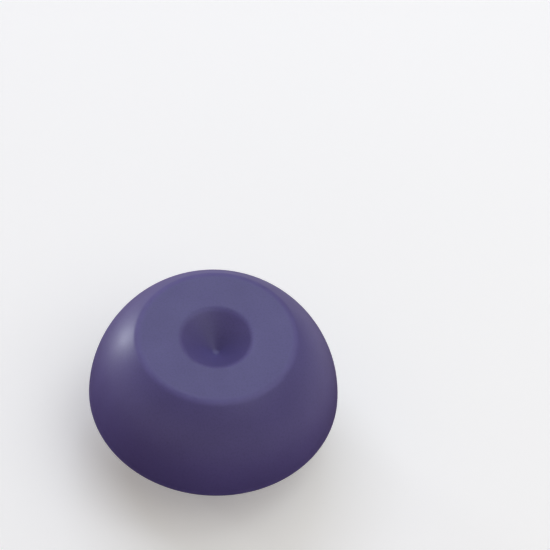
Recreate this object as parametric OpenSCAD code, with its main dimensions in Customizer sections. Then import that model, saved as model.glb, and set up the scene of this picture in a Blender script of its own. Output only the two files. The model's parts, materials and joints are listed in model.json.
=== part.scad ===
// String vibration dampener: a soft domed head on a waisted neck, held between
// the two centre main strings of a racquet by a slotted collar and a foot button.
// The origin is the centre of the foot's resting face and +Z is the dome's axis.
// The strings run along Y, one in each of the collar's two side channels.

/* [Head] */
// Widest diameter of the dome
head_d = 26; // [25:0.5:30]
// Height of the widest level above the foot's resting face
lip_level = 6.5; // [6.2:0.1:7]
// Height of the flat crown above the widest level
crown_rise = 9.8; // [9.6:0.1:10.4]
// Radius of the dome's side, seen in section
side_arc_r = 12.5; // [12:0.1:12.5]
// Radius of the lip where the side turns under
lip_r = 0.5; // [0.3:0.1:0.8]
// Radius that softens the edge of the crown
crown_edge_r = 1.3; // [0.4:0.1:1.5]
// Diameter of the conical dimple at the crown
dimple_d = 7.5; // [5:0.1:9]
// Depth of the dimple's cone, before its tip is rounded
dimple_depth = 2.9; // [1.5:0.1:3]
// Radius that rounds the bottom of the dimple
dimple_tip_r = 0.8; // [0.3:0.1:1.2]
// Radius that softens the dimple's rim
dimple_rim_r = 1.2; // [0.4:0.1:1.4]
// Height of the dished underside's middle above the lip's lowest point
dish_depth = 2; // [1.8:0.1:2.3]

/* [Insert in the head] */
// Diameter of the firm insert
insert_d = 7.2; // [6.4:0.1:7.6]
// Height of the insert
insert_h = 3.1; // [2.6:0.1:3.1]
// Clearance around the insert
insert_fit = 0.05; // [0.03:0.01:0.1]
// How far the head can bob up or down from rest
bob_travel = 0.4; // [0.2:0.1:0.4]

/* [Neck] */
// Diameter of the neck's waist
waist_d = 4.6; // [4:0.1:5]
// Diameter of the flange that stands on the collar
neck_flange_d = 6.8; // [6.2:0.1:7.4]
// Diameter of the stem that fits the collar's bore
lower_stem_d = 4.2; // [3.6:0.1:4.6]
// Diameter of the stem that fits the insert's bore
upper_stem_d = 3.8; // [3:0.1:4]

/* [Collar and string channels] */
// Diameter of the collar
collar_d = 14.8; // [14.4:0.1:15]
// Height of the collar
collar_h = 3; // [2.8:0.1:3.2]
// Distance between the two strings
string_pitch = 11; // [10.4:0.1:11.4]
// Diameter of a string channel
channel_d = 1.4; // [1.2:0.05:1.5]
// Width of the slot that a string snaps through
channel_mouth = 1.1; // [0.8:0.05:1.15]
// Width of the shallow groove around the collar that leads the strings in
lead_in_w = 2; // [1.6:0.1:2.1]
// Depth of that groove
lead_in_depth = 0.5; // [0.3:0.05:0.6]

/* [Foot] */
// Diameter of the foot button
foot_d = 16.2; // [15.4:0.1:16.6]
// Thickness of the foot button
foot_h = 2; // [1.8:0.1:2.4]
// Radius of the foot's lower edge
foot_edge_r = 1.2; // [0.6:0.1:1.3]
// Height of the stub that plugs the collar's bore
foot_stub_h = 1.3; // [0.8:0.1:1.3]

/* [Hidden] */

// Facets of the round solids, and steps along a drawn arc
round_fn = 96;
arc_steps = 8;
side_steps = 24;
// Elastomer colours of the dome, of the parts below it, and of the insert
dome_colour = [0.36, 0.34, 0.50];
base_colour = [0.31, 0.29, 0.44];
insert_colour = [0.80, 0.79, 0.76];

head_r = head_d / 2;
crown_z = lip_level + crown_rise;
collar_top_z = foot_h + collar_h;

// The dome's side is an arc whose centre stands this far off the axis
side_x = head_r - side_arc_r;
// Centre of the crown's softened edge, and the angle where it meets the side
edge_x = side_x + sqrt(pow(side_arc_r - crown_edge_r, 2) - pow(crown_rise - crown_edge_r, 2));
edge_angle = atan2(crown_rise - crown_edge_r, edge_x - side_x);

// Slope of the dimple's wall, and the centres of its rounded tip and softened rim
dimple_slope = atan2(dimple_depth, dimple_d / 2);
tip_z = crown_z - dimple_depth + dimple_tip_r / cos(dimple_slope);
rim_x = dimple_d / 2 + dimple_rim_r * tan(dimple_slope / 2);

// The underside: a lip that turns into a dish, and a mouth around the neck
mouth_r = 2.95;
boss_r = 4.4;
mouth_z = lip_level - lip_r + dish_depth;
dish_slope = atan2(dish_depth, head_r - lip_r - boss_r);

// The socket leaves the insert room to bob, plus a hair more
socket_r = insert_d / 2 + insert_fit;
bob_room = bob_travel + 0.05;
socket_floor_z = mouth_z + 0.4;
insert_z = socket_floor_z + bob_room;
socket_top_z = insert_z + insert_h + bob_room;
insert_edge = 0.3;
insert_bore_h = 2.1;

// Neck: flange, waist drawn as an arc that bites into the sides, and two stems
flange_h = 0.5;
waist_bottom_z = collar_top_z + flange_h;
waist_top_z = mouth_z - 0.2;
waist_z = (waist_bottom_z + waist_top_z) / 2;
waist_arc_r = 1.5;
waist_angle = asin((waist_top_z - waist_z) / waist_arc_r);
neck_top_r = 2.5;
stem_gap = 0.05;
lower_stem_z = foot_h + foot_stub_h + 0.1;

// Collar: bore for the neck's stem and the foot's stub, and the softened rim
stem_fit = 0.05;
collar_bore_r = lower_stem_d / 2 + stem_fit;
collar_edge_r = 0.4;
channel_z = foot_h + collar_h / 2;
foot_rim_r = 0.5;

// Points of an arc about [x, z], from one angle to another
function arc(x, z, r, from, to, steps) =
    [for (i = [0 : steps]) [
        x + r * cos(from + (to - from) * i / steps),
        z + r * sin(from + (to - from) * i / steps)
    ]];

module turned(outline) {
    rotate_extrude($fn = round_fn) polygon(outline);
}

// Soft dome: flat crown with a conical dimple, tight lip, dished underside,
// and a socket that closes in below the insert
module dome_head() {
    color(dome_colour)
        turned(concat(
            [[0, socket_top_z]],
            arc(0, tip_z, dimple_tip_r, -90, dimple_slope - 90, arc_steps),
            arc(rim_x, crown_z - dimple_rim_r, dimple_rim_r, 90 + dimple_slope, 90, arc_steps),
            arc(edge_x, crown_z - crown_edge_r, crown_edge_r, 90, edge_angle, arc_steps),
            arc(side_x, lip_level, side_arc_r, edge_angle, 0, side_steps),
            arc(head_r - lip_r, lip_level, lip_r, 0, -90 - dish_slope, arc_steps),
            [
                [boss_r, mouth_z],
                [mouth_r, mouth_z],
                [mouth_r, socket_floor_z],
                [socket_r, socket_floor_z],
                [socket_r, socket_top_z]
            ]
        ));
}

// Firm insert that the head is moulded around, with a blind bore for the neck
module head_insert() {
    color(insert_colour)
        difference() {
            turned([
                [0, insert_z],
                [insert_d / 2 - insert_edge, insert_z],
                [insert_d / 2, insert_z + insert_edge],
                [insert_d / 2, insert_z + insert_h - insert_edge],
                [insert_d / 2 - insert_edge, insert_z + insert_h],
                [0, insert_z + insert_h]
            ]);
            translate([0, 0, insert_z - 1])
                cylinder(r = upper_stem_d / 2 + stem_fit, h = insert_bore_h + 1, $fn = round_fn);
        }
}

// Waisted neck: flange on the collar, waist, and a stem at each end
module flex_neck() {
    color(base_colour)
        turned(concat(
            [
                [0, lower_stem_z],
                [lower_stem_d / 2, lower_stem_z],
                [lower_stem_d / 2, collar_top_z],
                [neck_flange_d / 2, collar_top_z],
                [neck_flange_d / 2, collar_top_z + flange_h / 2]
            ],
            arc(waist_d / 2 + waist_arc_r, waist_z, waist_arc_r,
                180 + waist_angle, 180 - waist_angle, arc_steps),
            [
                [neck_top_r, mouth_z],
                [neck_top_r, insert_z - stem_gap],
                [upper_stem_d / 2, insert_z - stem_gap],
                [upper_stem_d / 2, insert_z + insert_bore_h - stem_gap],
                [0, insert_z + insert_bore_h - stem_gap]
            ]
        ));
}

// Channel for one string, along Y, with a narrower mouth that opens sideways
module string_channel() {
    translate([string_pitch / 2, 0, channel_z])
        rotate([90, 0, 0])
            cylinder(d = channel_d, h = collar_d, center = true, $fn = round_fn);
    translate([string_pitch / 2, -collar_d / 2, channel_z - channel_mouth / 2])
        cube([collar_d, collar_d, channel_mouth]);
}

// Collar with the two string channels and a bore through its middle
module string_collar() {
    color(base_colour)
        difference() {
            turned(concat(
                [
                    [0, foot_h],
                    [collar_d / 2, foot_h],
                    [collar_d / 2, channel_z - lead_in_w / 2],
                    [collar_d / 2 - lead_in_depth, channel_z - channel_mouth / 2],
                    [collar_d / 2 - lead_in_depth, channel_z + channel_mouth / 2],
                    [collar_d / 2, channel_z + lead_in_w / 2]
                ],
                arc(collar_d / 2 - collar_edge_r, collar_top_z - collar_edge_r,
                    collar_edge_r, 0, 90, arc_steps),
                [[0, collar_top_z]]
            ));
            translate([0, 0, foot_h - 1])
                cylinder(r = collar_bore_r, h = collar_h + 2, $fn = round_fn);
            string_channel();
            mirror([1, 0, 0]) string_channel();
        }
}

// Retaining button behind the strings, with a stub that plugs the collar's bore
module foot_button() {
    color(base_colour)
        turned(concat(
            [[0, 0]],
            arc(foot_d / 2 - foot_edge_r, foot_edge_r, foot_edge_r, -90, 0, arc_steps),
            arc(foot_d / 2 - foot_rim_r, foot_h - foot_rim_r, foot_rim_r, 0, 90, arc_steps),
            [
                [collar_bore_r, foot_h],
                [collar_bore_r, foot_h + foot_stub_h],
                [0, foot_h + foot_stub_h]
            ]
        ));
}

dome_head();
head_insert();
flex_neck();
string_collar();
foot_button();
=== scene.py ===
import json
import math

import bmesh
import bpy
import numpy as np
from mathutils import Matrix, Vector


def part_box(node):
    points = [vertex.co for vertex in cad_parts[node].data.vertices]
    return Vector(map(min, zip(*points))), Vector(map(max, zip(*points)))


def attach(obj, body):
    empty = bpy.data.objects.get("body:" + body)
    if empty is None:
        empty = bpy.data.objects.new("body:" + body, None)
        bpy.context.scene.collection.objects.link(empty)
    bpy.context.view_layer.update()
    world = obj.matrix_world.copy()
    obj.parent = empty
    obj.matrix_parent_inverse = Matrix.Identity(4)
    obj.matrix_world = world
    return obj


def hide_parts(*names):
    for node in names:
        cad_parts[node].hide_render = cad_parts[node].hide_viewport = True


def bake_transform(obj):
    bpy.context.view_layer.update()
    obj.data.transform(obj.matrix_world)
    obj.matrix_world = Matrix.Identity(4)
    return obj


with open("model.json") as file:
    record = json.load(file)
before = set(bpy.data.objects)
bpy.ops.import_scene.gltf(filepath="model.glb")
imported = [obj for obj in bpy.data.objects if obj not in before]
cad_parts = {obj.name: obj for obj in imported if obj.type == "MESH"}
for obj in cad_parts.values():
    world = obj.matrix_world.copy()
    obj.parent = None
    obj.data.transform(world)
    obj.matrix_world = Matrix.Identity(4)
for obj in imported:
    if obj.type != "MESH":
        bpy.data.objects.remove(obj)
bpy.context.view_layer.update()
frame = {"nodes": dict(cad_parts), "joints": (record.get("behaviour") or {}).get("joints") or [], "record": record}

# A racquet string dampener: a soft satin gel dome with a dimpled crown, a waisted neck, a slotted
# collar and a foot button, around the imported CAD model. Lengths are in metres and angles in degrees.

MM = 0.001

# ---------------------------------------------------------------- what the frame says

HEAD_LOW, HEAD_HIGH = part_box("dome_head")
INSERT_LOW, INSERT_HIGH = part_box("head_insert")
NECK_LOW, NECK_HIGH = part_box("flex_neck")
COLLAR_LOW, COLLAR_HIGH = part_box("string_collar")
_, FOOT_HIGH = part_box("foot_button")
JOINTS = {joint["name"]: joint for joint in frame["joints"]}
MOUNTS = {mount["name"]: mount for mount in frame["record"]["mounts"]}
WAIST_Z = JOINTS["sway_fore_aft"]["pos_m"][2]
CHANNEL_X, _, CHANNEL_Z = MOUNTS["string_channel_right"]["pos_m"]
CHANNEL_R = MOUNTS["string_channel_right"]["dims"]["r_mm"] * MM

# ---------------------------------------------------------------- sizes of the dome

HEAD_R = HEAD_HIGH.x
CROWN_Z = HEAD_HIGH.z
# The lip is where the side turns under, at the widest level
LIP_R = 0.5 * MM
LIP_Z = HEAD_LOW.z + LIP_R
SIDE_ARC_R = 12.5 * MM
CROWN_EDGE_R = 1.3 * MM
DIMPLE_R = 3.75 * MM
DIMPLE_DEPTH = 2.9 * MM
DIMPLE_TIP_R = 0.8 * MM
DIMPLE_RIM_R = 1.2 * MM
# The dished underside, from the lip to the boss around the neck's mouth
DISH_DEPTH = 2.0 * MM
BOSS_R = 4.4 * MM
MOUTH_R = 2.95 * MM
MOUTH_Z = HEAD_LOW.z + DISH_DEPTH
MOUTH_EDGE_R = 0.15 * MM
# Clearance around the insert, and the room above and below it
SOCKET_FIT = 0.05 * MM
BOB_ROOM = 0.45 * MM

# ---------------------------------------------------------------- mesh helpers

# Points round a turned piece
DOME_TURNS = 192
NECK_TURNS = 128
BASE_TURNS = 160
# An edge that turns more than this is shaded sharp
SHARP_ABOVE = 40
# Points closer than this are one point
SAME_POINT = 1e-7


def arc(centre_r, centre_z, radius, start, end, steps):
    """Points of an arc in a lathe outline, from one angle to another."""
    angles = np.radians(np.linspace(start, end, steps + 1))
    return [(centre_r + radius * math.cos(a), centre_z + radius * math.sin(a)) for a in angles]


def line(start, end, steps):
    """Points along a straight stretch, without its two ends."""
    shares = np.linspace(0, 1, steps + 1)[1:-1]
    return [tuple(np.array(start) * (1 - t) + np.array(end) * t) for t in shares]


def show(name, data):
    """An object in the scene that holds a mesh, camera or light."""
    holder = bpy.data.objects.new(name, data)
    bpy.context.scene.collection.objects.link(holder)
    return holder


def lathe(name, outline, turns):
    """A closed mesh turned about Z. An outline point on the axis becomes a single vertex."""
    mesh = bpy.data.meshes.new(name)
    shape = bmesh.new()
    angles = [2 * math.pi * i / turns for i in range(turns)]
    rings = []
    for r, z in outline:
        if r < SAME_POINT:
            rings.append([shape.verts.new((0, 0, z))])
        else:
            rings.append([shape.verts.new((r * math.cos(a), r * math.sin(a), z)) for a in angles])
    for low, high in zip(rings, rings[1:]):
        for i in range(turns):
            j = (i + 1) % turns
            corners = [low[i % len(low)], low[j % len(low)], high[j % len(high)], high[i % len(high)]]
            shape.faces.new(list(dict.fromkeys(corners)))
    bmesh.ops.remove_doubles(shape, verts=shape.verts, dist=SAME_POINT)
    bmesh.ops.recalc_face_normals(shape, faces=shape.faces)
    shape.to_mesh(mesh)
    shape.free()
    mesh.shade_smooth()
    mesh.set_sharp_from_angle(angle=math.radians(SHARP_ABOVE))
    return show(name, mesh)


# ---------------------------------------------------------------- materials

# Each noise has a scale, in features per metre, and a number of finer layers
CLOUDS = (170, 4)
SPECKS = (5200, 3)
SCUFFS = (900, 4)
GLOSS_PATCHES = (450, 3)
SINK_MARKS = (260, 2)
GRAIN_LAYERS = 5
# How far the clouds shift the colour either way, and the noise levels between which they do
CLOUD_SHARE = 0.05
CLOUD_SPAN = (0.3, 0.7)
# The share of its brightness that a pigment speck keeps, and the noise levels over which it fades out
SPECK_SHADE = 0.9
SPECK_SPAN = (0.3, 0.55)
# Edges along the rings are paler and duller than the rest: from wear, and on the crown's edge the paler colour is
# a painted highlight
WEAR_AND_HIGHLIGHT_GAIN = 1.15
WEAR_AND_HIGHLIGHT_LIFT = 0.015
WORN_ROUGHNESS = 0.12
# How far the roughness varies either way from patch to patch
GLOSS_SPREAD = 0.05
GRAIN_STRENGTH = 0.3
SINK_STRENGTH = 0.25
SINK_DEPTH = 0.08 * MM
SPECULAR = 0.44
# How far light spreads under the surface, and the shares for red, green and blue
SOAK_DISTANCE = 1.5 * MM
SOAK_SHARES = (1.0, 0.8, 1.0)
# Paler edges: each is a ring (radius, height, reach). The crown's ring is a painted highlight along its rounded
# edge, and the others are wear
CROWN_HIGHLIGHT_RING = (8.2 * MM, CROWN_Z, 0.7 * MM)
LIP_RING = (HEAD_R, LIP_Z - 0.2 * MM, 0.7 * MM)
FOOT_RING = (FOOT_HIGH.x, COLLAR_LOW.z, 0.6 * MM)
COLLAR_RING = (COLLAR_HIGH.x, COLLAR_HIGH.z, 0.6 * MM)
INSERT_TOP_RING = (INSERT_HIGH.x, INSERT_HIGH.z, 0.4 * MM)
INSERT_FOOT_RING = (INSERT_HIGH.x, INSERT_LOW.z, 0.4 * MM)


def noise(nodes, links, place, scale, layers):
    """A noise over the piece's own coordinates."""
    texture = nodes.new("ShaderNodeTexNoise")
    texture.inputs["Scale"].default_value = scale
    texture.inputs["Detail"].default_value = layers
    links.new(place.outputs["Object"], texture.inputs["Vector"])
    return texture.outputs["Fac"]


def maths(nodes, links, operation, *values):
    """The result of a maths node whose inputs are sockets or numbers."""
    node = nodes.new("ShaderNodeMath")
    node.operation = operation
    for slot, value in zip(node.inputs, values):
        if isinstance(value, bpy.types.NodeSocket):
            links.new(value, slot)
        else:
            slot.default_value = value
    return node.outputs["Value"]


def map_range(nodes, links, value, **limits):
    """A value mapped between ranges. The limits are named as the node's inputs are, with _ for a space."""
    node = nodes.new("ShaderNodeMapRange")
    for name, limit in limits.items():
        node.inputs[name.replace("_", " ")].default_value = limit
    links.new(value, node.inputs["Value"])
    return node


def two_tone(nodes, links, factor, span, low, high):
    """A colour that runs from low to high while the factor crosses the span."""
    node = nodes.new("ShaderNodeValToRGB")
    for stop, position, colour in zip(node.color_ramp.elements, span, (low, high)):
        stop.position = position
        stop.color = (*colour, 1)
    links.new(factor, node.inputs["Fac"])
    return node.outputs["Color"]


def bump(nodes, links, height, strength, distance):
    """A bump node fed by a height."""
    node = nodes.new("ShaderNodeBump")
    node.inputs["Strength"].default_value = strength
    node.inputs["Distance"].default_value = distance
    links.new(height, node.inputs["Height"])
    return node


def section_point(nodes, links, place):
    """The point's distance from the Z axis and its height, as X and Y of a vector."""
    axes = nodes.new("ShaderNodeSeparateXYZ")
    flat = nodes.new("ShaderNodeCombineXYZ")
    radius = nodes.new("ShaderNodeVectorMath")
    radius.operation = "LENGTH"
    section = nodes.new("ShaderNodeCombineXYZ")
    links.new(place.outputs["Object"], axes.inputs["Vector"])
    links.new(axes.outputs["X"], flat.inputs["X"])
    links.new(axes.outputs["Y"], flat.inputs["Y"])
    links.new(flat.outputs["Vector"], radius.inputs[0])
    links.new(radius.outputs["Value"], section.inputs["X"])
    links.new(axes.outputs["Z"], section.inputs["Y"])
    return section.outputs["Vector"]


def wear_and_highlight_rings(nodes, links, place, rings):
    """A factor that rises along the two paler rings, broken up by scuffs: wear, and along the crown's edge a
    painted highlight.
    """
    section = section_point(nodes, links, place)
    nears = []
    for ring_r, ring_z, reach in rings:
        gap = nodes.new("ShaderNodeVectorMath")
        gap.operation = "DISTANCE"
        gap.inputs[1].default_value = (ring_r, ring_z, 0)
        links.new(section, gap.inputs[0])
        near = map_range(nodes, links, gap.outputs["Value"], From_Max=reach, To_Min=1, To_Max=0)
        near.interpolation_type = "SMOOTHSTEP"
        nears.append(near.outputs["Result"])
    wear_and_highlight = maths(nodes, links, "MAXIMUM", *nears)
    return maths(nodes, links, "MULTIPLY", wear_and_highlight, noise(nodes, links, place, *SCUFFS))


def moulded_colour(nodes, links, place, colour, wear_and_highlight):
    """The colour with faint clouds and pigment specks, paler along the rings: from wear, and along the crown's
    edge as a painted highlight.
    """
    dark, light = ([c * (1 + side * CLOUD_SHARE) for c in colour] for side in (-1, 1))
    clouds = noise(nodes, links, place, *CLOUDS)
    specks = noise(nodes, links, place, *SPECKS)
    pigment = nodes.new("ShaderNodeMix")
    pigment.data_type = "RGBA"
    pigment.blend_type = "MULTIPLY"
    pigment.inputs["Factor"].default_value = 1
    links.new(two_tone(nodes, links, clouds, CLOUD_SPAN, dark, light), pigment.inputs["A"])
    speck_shade = two_tone(nodes, links, specks, SPECK_SPAN, [SPECK_SHADE] * 3, [1] * 3)
    links.new(speck_shade, pigment.inputs["B"])
    # Paler along the rings: wear, and along the crown's edge a painted highlight
    wear_and_highlight_tint = nodes.new("ShaderNodeMix")
    wear_and_highlight_tint.data_type = "RGBA"
    wear_and_highlight_tint.inputs["B"].default_value = (*[c * WEAR_AND_HIGHLIGHT_GAIN + WEAR_AND_HIGHLIGHT_LIFT for c in colour], 1)
    links.new(wear_and_highlight, wear_and_highlight_tint.inputs["Factor"])
    links.new(pigment.outputs["Result"], wear_and_highlight_tint.inputs["A"])
    return wear_and_highlight_tint.outputs["Result"]


def moulded_normal(nodes, links, place, grain_scale, grain_height):
    """A fine grain over the shallow sink marks of a moulding."""
    grain = noise(nodes, links, place, grain_scale, GRAIN_LAYERS)
    sink = noise(nodes, links, place, *SINK_MARKS)
    grain_bump = bump(nodes, links, grain, GRAIN_STRENGTH, grain_height)
    sink_bump = bump(nodes, links, sink, SINK_STRENGTH, SINK_DEPTH)
    links.new(sink_bump.outputs["Normal"], grain_bump.inputs["Normal"])
    return grain_bump.outputs["Normal"]


def moulded(name, colour, rings, roughness, grain_scale, grain_height, soak):
    """Satin moulded material. The grain's scale is in features per metre, and soak is the share of
    light that spreads under the surface."""
    material = bpy.data.materials.new(name)
    material.use_nodes = True
    nodes, links = material.node_tree.nodes, material.node_tree.links
    shader = nodes["Principled BSDF"]
    place = nodes.new("ShaderNodeTexCoord")
    wear_and_highlight = wear_and_highlight_rings(nodes, links, place, rings)
    patches = noise(nodes, links, place, *GLOSS_PATCHES)
    least, most = roughness - GLOSS_SPREAD, roughness + GLOSS_SPREAD
    gloss = map_range(nodes, links, patches, To_Min=least, To_Max=most).outputs["Result"]
    dulled = maths(nodes, links, "MULTIPLY_ADD", wear_and_highlight, WORN_ROUGHNESS, gloss)
    links.new(moulded_colour(nodes, links, place, colour, wear_and_highlight), shader.inputs["Base Color"])
    links.new(dulled, shader.inputs["Roughness"])
    links.new(moulded_normal(nodes, links, place, grain_scale, grain_height), shader.inputs["Normal"])
    shader.inputs["Specular IOR Level"].default_value = SPECULAR
    shader.inputs["Subsurface Weight"].default_value = soak
    shader.inputs["Subsurface Radius"].default_value = SOAK_SHARES
    shader.inputs["Subsurface Scale"].default_value = SOAK_DISTANCE
    return material


# The ring along the crown's edge paints a highlight; the one under the lip is wear
dome_gel = moulded(
    "dome_gel", colour=(0.1054, 0.0847, 0.2394), rings=[CROWN_HIGHLIGHT_RING, LIP_RING],
    roughness=0.45, grain_scale=3000, grain_height=0.02 * MM, soak=0.3,
)
base_elastomer = moulded(
    "base_elastomer", colour=(0.086, 0.072, 0.17), rings=[FOOT_RING, COLLAR_RING],
    roughness=0.52, grain_scale=2200, grain_height=0.03 * MM, soak=0.15,
)
insert_plastic = moulded(
    "insert_plastic", colour=(0.6, 0.58, 0.54), rings=[INSERT_TOP_RING, INSERT_FOOT_RING],
    roughness=0.4, grain_scale=1600, grain_height=0.01 * MM, soak=0.05,
)

# ---------------------------------------------------------------- dome

TIP_STEPS = 10
WALL_STEPS = 16
RIM_STEPS = 12
CROWN_STEPS = 12
EDGE_STEPS = 12
SIDE_STEPS = 48
LIP_STEPS = 16
DISH_STEPS = 16
MOUTH_STEPS = 4


def dome_outline():
    """From the dimple's tip out over the crown, side and lip, and back under to the socket's ceiling."""
    side_r = HEAD_R - SIDE_ARC_R
    rise = CROWN_Z - LIP_Z - CROWN_EDGE_R
    edge_r = side_r + math.sqrt((SIDE_ARC_R - CROWN_EDGE_R) ** 2 - rise ** 2)
    edge_angle = math.degrees(math.atan2(rise, edge_r - side_r))
    slope = math.degrees(math.atan2(DIMPLE_DEPTH, DIMPLE_R))
    rim_r = DIMPLE_R + DIMPLE_RIM_R * math.tan(math.radians(slope / 2))
    tip_z = CROWN_Z - DIMPLE_DEPTH + DIMPLE_TIP_R / math.cos(math.radians(slope))
    dish_slope = math.degrees(math.atan2(DISH_DEPTH, HEAD_R - LIP_R - BOSS_R))
    socket_r = INSERT_HIGH.x + SOCKET_FIT
    socket_low, socket_high = INSERT_LOW.z - BOB_ROOM, INSERT_HIGH.z + BOB_ROOM
    tip = arc(0, tip_z, DIMPLE_TIP_R, -90, slope - 90, TIP_STEPS)
    rim = arc(rim_r, CROWN_Z - DIMPLE_RIM_R, DIMPLE_RIM_R, 90 + slope, 90, RIM_STEPS)
    edge = arc(edge_r, CROWN_Z - CROWN_EDGE_R, CROWN_EDGE_R, 90, edge_angle, EDGE_STEPS)
    side = arc(side_r, LIP_Z, SIDE_ARC_R, edge_angle, 0, SIDE_STEPS)
    lip = arc(HEAD_R - LIP_R, LIP_Z, LIP_R, 0, -90 - dish_slope, LIP_STEPS)
    mouth_edge = arc(MOUTH_R + MOUTH_EDGE_R, MOUTH_Z + MOUTH_EDGE_R, MOUTH_EDGE_R, -90, -180, MOUTH_STEPS)
    return [
        *tip, *line(tip[-1], rim[0], WALL_STEPS), *rim,
        *line(rim[-1], edge[0], CROWN_STEPS), *edge, *side[1:], *lip[1:],
        *line(lip[-1], (BOSS_R, MOUTH_Z), DISH_STEPS), (BOSS_R, MOUTH_Z), *mouth_edge,
        (MOUTH_R, socket_low), (socket_r, socket_low), (socket_r, socket_high), (0, socket_high),
    ]


dome = lathe("gel_dome", dome_outline(), DOME_TURNS)
dome.data.materials.append(dome_gel)
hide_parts("dome_head")
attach(dome, "head")

# ---------------------------------------------------------------- neck

FLANGE_R = NECK_HIGH.x
FLANGE_H = 0.5 * MM
FLANGE_EDGE_R = 0.2 * MM
FLANGE_STEPS = 6
WAIST_R = 2.3 * MM
WAIST_ARC_R = 1.5 * MM
HALF_WAIST_STEPS = 16
NECK_TOP_R = 2.5 * MM
LOWER_STEM_R = 2.1 * MM
UPPER_STEM_R = 1.9 * MM


def waist_arc():
    """The waist's outline, from the flange up to the head's mouth."""
    reach = WAIST_Z - COLLAR_HIGH.z - FLANGE_H
    angle = math.degrees(math.asin(reach / WAIST_ARC_R))
    steps = 2 * HALF_WAIST_STEPS
    return arc(WAIST_R + WAIST_ARC_R, WAIST_Z, WAIST_ARC_R, 180 + angle, 180 - angle, steps)


def neck_lower_outline():
    """From the stem in the collar's bore, over the flange, to the middle of the waist."""
    edge_z = COLLAR_HIGH.z + FLANGE_EDGE_R
    return [
        (0, NECK_LOW.z), (LOWER_STEM_R, NECK_LOW.z), (LOWER_STEM_R, COLLAR_HIGH.z),
        (FLANGE_R, COLLAR_HIGH.z),
        *arc(FLANGE_R - FLANGE_EDGE_R, edge_z, FLANGE_EDGE_R, 0, 90, FLANGE_STEPS),
        *waist_arc()[:HALF_WAIST_STEPS + 1], (0, WAIST_Z),
    ]


def neck_upper_outline():
    """From the middle of the waist to the stem in the insert's bore."""
    shoulder_z = INSERT_LOW.z - SOCKET_FIT
    return [
        (0, WAIST_Z), *waist_arc()[HALF_WAIST_STEPS:], (NECK_TOP_R, MOUTH_Z), (NECK_TOP_R, shoulder_z),
        (UPPER_STEM_R, shoulder_z), (UPPER_STEM_R, NECK_HIGH.z), (0, NECK_HIGH.z),
    ]


def add_neck():
    """Two halves that meet at the waist."""
    lower = lathe("neck_lower", neck_lower_outline(), NECK_TURNS)
    upper = lathe("neck_upper", neck_upper_outline(), NECK_TURNS)
    for half in (lower, upper):
        half.data.materials.append(base_elastomer)
        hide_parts("flex_neck")
    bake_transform(lower)
    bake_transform(upper)


add_neck()

# ---------------------------------------------------------------- collar

COLLAR_R = COLLAR_HIGH.x
COLLAR_EDGE_R = 0.4 * MM
COLLAR_EDGE_STEPS = 6
BORE_R = 2.15 * MM
# Where a string snaps in: the channel's mouth, and the shallow groove that leads to it
CHANNEL_MOUTH = 1.1 * MM
LEAD_IN_W = 2.0 * MM
LEAD_IN_DEPTH = 0.5 * MM
CHANNEL_SEGMENTS = 64
CUTTER_REACH = 2 * COLLAR_R
# The remesh works on the collar in millimetres, and this is its cell
REMESH_CELL_MM = 0.09
SMOOTH_PASSES = 4


def collar_outline():
    """The collar's section, with its bore and the groove that leads the strings in."""
    low, high = COLLAR_LOW.z, COLLAR_HIGH.z
    groove_r = COLLAR_R - LEAD_IN_DEPTH
    edge_r, edge_z = COLLAR_R - COLLAR_EDGE_R, high - COLLAR_EDGE_R
    return [
        (BORE_R, low), (COLLAR_R, low), (COLLAR_R, CHANNEL_Z - LEAD_IN_W / 2),
        (groove_r, CHANNEL_Z - CHANNEL_MOUTH / 2), (groove_r, CHANNEL_Z + CHANNEL_MOUTH / 2),
        (COLLAR_R, CHANNEL_Z + LEAD_IN_W / 2),
        *arc(edge_r, edge_z, COLLAR_EDGE_R, 0, 90, COLLAR_EDGE_STEPS),
        (BORE_R, high), (BORE_R, low),
    ]


def channel_pipe(side):
    """A long cylinder along Y, where a string's channel runs."""
    pipe = bmesh.new()
    bmesh.ops.create_cone(
        pipe, cap_ends=True, segments=CHANNEL_SEGMENTS,
        radius1=CHANNEL_R, radius2=CHANNEL_R, depth=2 * CUTTER_REACH,
    )
    place = Matrix.Translation((side * CHANNEL_X, 0, CHANNEL_Z)) @ Matrix.Rotation(math.pi / 2, 4, "X")
    bmesh.ops.transform(pipe, matrix=place, verts=pipe.verts)
    return pipe


def channel_mouth(side):
    """A flat box from the channel's middle out past the collar."""
    box = bmesh.new()
    bmesh.ops.create_cube(box, size=1)
    middle = (side * (CHANNEL_X + CUTTER_REACH) / 2, 0, CHANNEL_Z)
    size = (CUTTER_REACH - CHANNEL_X, 2 * CUTTER_REACH, CHANNEL_MOUTH, 1)
    bmesh.ops.transform(box, matrix=Matrix.Translation(middle) @ Matrix.Diagonal(size), verts=box.verts)
    return box


def apply_modifiers(piece):
    """Replaces the piece's mesh with the result of its modifiers."""
    bpy.context.view_layer.update()
    shaped = piece.evaluated_get(bpy.context.evaluated_depsgraph_get())
    mesh = bpy.data.meshes.new_from_object(shaped)
    piece.modifiers.clear()
    piece.data = mesh


def cut_channels(collar):
    """Takes both string channels out of the collar."""
    cutters = []
    for shape in [part(side) for side in (1, -1) for part in (channel_pipe, channel_mouth)]:
        mesh = bpy.data.meshes.new("cutter")
        shape.to_mesh(mesh)
        shape.free()
        cutter = show("cutter", mesh)
        cut = collar.modifiers.new("cut", "BOOLEAN")
        cut.operation = "DIFFERENCE"
        cut.solver = "EXACT"
        cut.object = cutter
        cutters.append(cutter)
    apply_modifiers(collar)
    for cutter in cutters:
        bpy.data.objects.remove(cutter)


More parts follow.
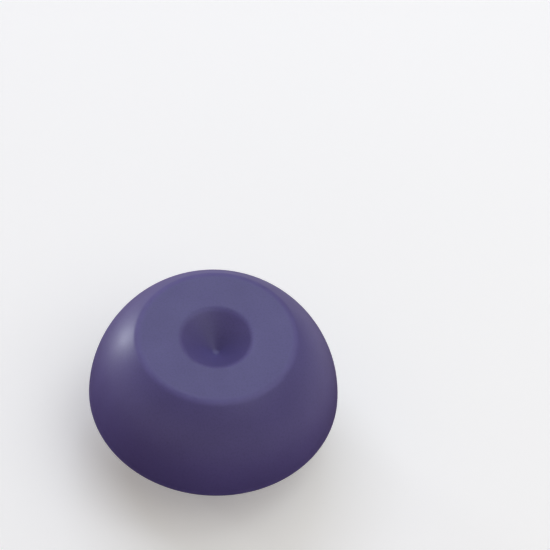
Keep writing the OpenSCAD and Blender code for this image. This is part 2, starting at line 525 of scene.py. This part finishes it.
def round_edges(collar):
    """Remeshes and smooths the collar, so that every edge is rounded as a moulding's is."""
    collar.data.transform(Matrix.Scale(1 / MM, 4))
    remesh = collar.modifiers.new("remesh", "REMESH")
    remesh.mode = "VOXEL"
    remesh.voxel_size = REMESH_CELL_MM
    smooth = collar.modifiers.new("smooth", "SMOOTH")
    smooth.iterations = SMOOTH_PASSES
    apply_modifiers(collar)
    collar.data.transform(Matrix.Scale(MM, 4))
    collar.data.shade_smooth()


collar = lathe("collar", collar_outline(), BASE_TURNS)
cut_channels(collar)
round_edges(collar)
collar.data.materials.append(base_elastomer)
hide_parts("string_collar")
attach(collar, "grip")

# ---------------------------------------------------------------- foot

FOOT_R = FOOT_HIGH.x
FOOT_EDGE_R = 1.2 * MM
FOOT_EDGE_STEPS = 14
FOOT_RIM_R = 0.5 * MM
FOOT_RIM_STEPS = 10
# The gate mark is a low nub, part of a ball, in a shallow well
GATE_NUB_Z = 0.15 * MM
GATE_BALL_R = 1.4 * MM
GATE_ARC = (-89, -64)
GATE_STEPS = 4
GATE_WELL_R = 0.9 * MM
# A shallow groove that the mould leaves on the resting face
MOULD_RING_R = 4.6 * MM
MOULD_RING_DEPTH = 0.06 * MM
MOULD_RING_EDGE = 0.1 * MM


def foot_outline():
    """From the gate mark, along the resting face, round the edge and up the stub."""
    top = COLLAR_LOW.z
    return [
        (0, GATE_NUB_Z), *arc(0, GATE_NUB_Z + GATE_BALL_R, GATE_BALL_R, *GATE_ARC, GATE_STEPS),
        (GATE_WELL_R, 0),
        (MOULD_RING_R - MOULD_RING_EDGE, 0), (MOULD_RING_R, MOULD_RING_DEPTH),
        (MOULD_RING_R + MOULD_RING_EDGE, 0),
        *arc(FOOT_R - FOOT_EDGE_R, FOOT_EDGE_R, FOOT_EDGE_R, -90, 0, FOOT_EDGE_STEPS),
        *arc(FOOT_R - FOOT_RIM_R, top - FOOT_RIM_R, FOOT_RIM_R, 0, 90, FOOT_RIM_STEPS),
        (BORE_R, top), (BORE_R, FOOT_HIGH.z), (0, FOOT_HIGH.z),
    ]


foot = lathe("foot", foot_outline(), BASE_TURNS)
foot.data.materials.append(base_elastomer)
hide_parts("foot_button")
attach(foot, "grip")

# ---------------------------------------------------------------- insert, with the CAD's own shape

insert_materials = frame["nodes"]["head_insert"].data.materials
insert_materials.clear()
insert_materials.append(insert_plastic)

# ---------------------------------------------------------------- camera

ELEVATION = 53
ROLL = 4.2
PICTURE_WIDTH = 57.5 * MM
CAMERA_DISTANCE = 0.65
CLIP_NEAR = 0.01
CLIP_FAR = 10
# Blender gives the sensor and the lens in millimetres
SENSOR_WIDTH_MM = 36
# How far the picture's middle lies from the middle of the dome's widest level, to the right and up
AIM_RIGHT = 6.45 * MM
AIM_UP = 12.32 * MM


def direction(azimuth, elevation):
    """A unit vector. Azimuth 0 is the camera's side, and 90 is its right."""
    a, e = math.radians(azimuth), math.radians(elevation)
    return Vector((math.sin(a) * math.cos(e), -math.cos(a) * math.cos(e), math.sin(e)))


def add_camera():
    """A long lens that looks down on the dome, rolled a little, with the dome low and left."""
    roll = math.radians(ROLL)
    to_camera = direction(0, ELEVATION)
    level_right = Vector((1, 0, 0))
    level_up = to_camera.cross(level_right)
    picture_right = level_right * math.cos(roll) + level_up * math.sin(roll)
    picture_up = level_up * math.cos(roll) - level_right * math.sin(roll)
    data = bpy.data.cameras.new("camera")
    data.sensor_width = SENSOR_WIDTH_MM
    data.lens = SENSOR_WIDTH_MM * CAMERA_DISTANCE / PICTURE_WIDTH
    data.clip_start = CLIP_NEAR
    data.clip_end = CLIP_FAR
    camera = show("camera", data)
    aim = Vector((0, 0, LIP_Z)) + picture_right * AIM_RIGHT + picture_up * AIM_UP
    axes = Matrix((picture_right, picture_up, to_camera)).transposed()
    camera.matrix_world = Matrix.Translation(aim + to_camera * CAMERA_DISTANCE) @ axes.to_4x4()
    bpy.context.scene.camera = camera


# ---------------------------------------------------------------- floor and light

FLOOR_REACH = 0.6
FLOOR_GAP = 0.01 * MM
FLOOR_COLOUR = (0.97, 0.94, 0.89, 1)
FLOOR_ROUGHNESS = 0.9
FLOOR_GLOW = 0.21

LIGHT_DISTANCE = 0.35
LIGHT_COLOUR = (0.87, 0.93, 1.0)
BACK_COLOUR = (0.82, 0.93, 1.2)
# Name, azimuth (0 is the camera's side), elevation, width, height, watts, colour
SOFTBOXES = [
    ("front_right", 62, 60, 0.3, 0.3, 0.335, LIGHT_COLOUR),
    ("back_right", 135, 60, 0.24, 0.24, 0.21, LIGHT_COLOUR),
    ("right_low", 105, 8, 0.24, 0.1, 0.04, LIGHT_COLOUR),
    ("back", 199, 52, 0.3, 0.08, 0.35, BACK_COLOUR),
    ("strip", 236, 2.5, 0.05, 0.015, 0.41, LIGHT_COLOUR),
]

ROOM_STRENGTH = 1.27
# The room is shaded along an axis that leans from straight up towards this azimuth, so that its pale
# walls lie lower there and higher on the other side
ROOM_LEAN = 15
ROOM_AZIMUTH = 150
# The light along that axis, from its lower end (0) to its upper end (1): dark below, pale walls, a dark
# cornice, a dim ceiling, and dark again overhead
ROOM_SHADES = [
    (0, (0, 0, 0)), (0.3, (0.1, 0.06, 0.08)), (0.42, (0.71, 0.66, 0.81)), (0.56, (0.57, 0.55, 0.58)),
    (0.63, (0.04, 0.04, 0.04)), (0.75, (0.29, 0.24, 0.18)), (1, (0.03, 0.04, 0.04)),
]


def add_floor():
    """A plain pale table top under the foot, which sends no light back onto the object."""
    mesh = bpy.data.meshes.new("floor")
    corners = [(x * FLOOR_REACH, y * FLOOR_REACH, 0) for x, y in ((-1, -1), (1, -1), (1, 1), (-1, 1))]
    mesh.from_pydata(corners, [], [(0, 1, 2, 3)])
    floor = show("floor", mesh)
    material = bpy.data.materials.new("floor")
    material.use_nodes = True
    shader = material.node_tree.nodes["Principled BSDF"]
    shader.inputs["Base Color"].default_value = FLOOR_COLOUR
    shader.inputs["Roughness"].default_value = FLOOR_ROUGHNESS
    shader.inputs["Emission Color"].default_value = (1, 1, 1, 1)
    shader.inputs["Emission Strength"].default_value = FLOOR_GLOW
    mesh.materials.append(material)
    floor.location.z = -FLOOR_GAP
    floor.visible_diffuse = False
    floor.visible_glossy = False


def add_softbox(name, azimuth, elevation, width, height, watts, colour):
    """A soft light that faces the dome."""
    data = bpy.data.lights.new(name, "AREA")
    data.shape = "RECTANGLE"
    data.size = width
    data.size_y = height
    data.energy = watts
    data.color = colour
    light = show(name, data)
    way = direction(azimuth, elevation)
    light.location = Vector((0, 0, LIP_Z)) + way * LIGHT_DISTANCE
    light.rotation_euler = way.to_track_quat("Z", "Y").to_euler()


def add_room():
    """The studio around the table, shaded along its leaning axis."""
    world = bpy.data.worlds.new("room")
    world.use_nodes = True
    nodes, links = world.node_tree.nodes, world.node_tree.links
    place = nodes.new("ShaderNodeTexCoord")
    along = nodes.new("ShaderNodeVectorMath")
    along.operation = "DOT_PRODUCT"
    along.inputs[1].default_value = direction(ROOM_AZIMUTH, 90 - ROOM_LEAN)
    links.new(place.outputs["Generated"], along.inputs[0])
    height = map_range(nodes, links, along.outputs["Value"], From_Min=-1, From_Max=1)
    shade = nodes.new("ShaderNodeValToRGB")
    for share, _ in ROOM_SHADES[1:-1]:
        shade.color_ramp.elements.new(share)
    for stop, (share, colour) in zip(shade.color_ramp.elements, ROOM_SHADES):
        stop.position = share
        stop.color = (*colour, 1)
    links.new(height.outputs["Result"], shade.inputs["Fac"])
    links.new(shade.outputs["Color"], nodes["Background"].inputs["Color"])
    nodes["Background"].inputs["Strength"].default_value = ROOM_STRENGTH
    bpy.context.scene.world = world


add_camera()
add_floor()
add_room()
for softbox in SOFTBOXES:
    add_softbox(*softbox)
bpy.context.scene.view_settings.view_transform = "Standard"
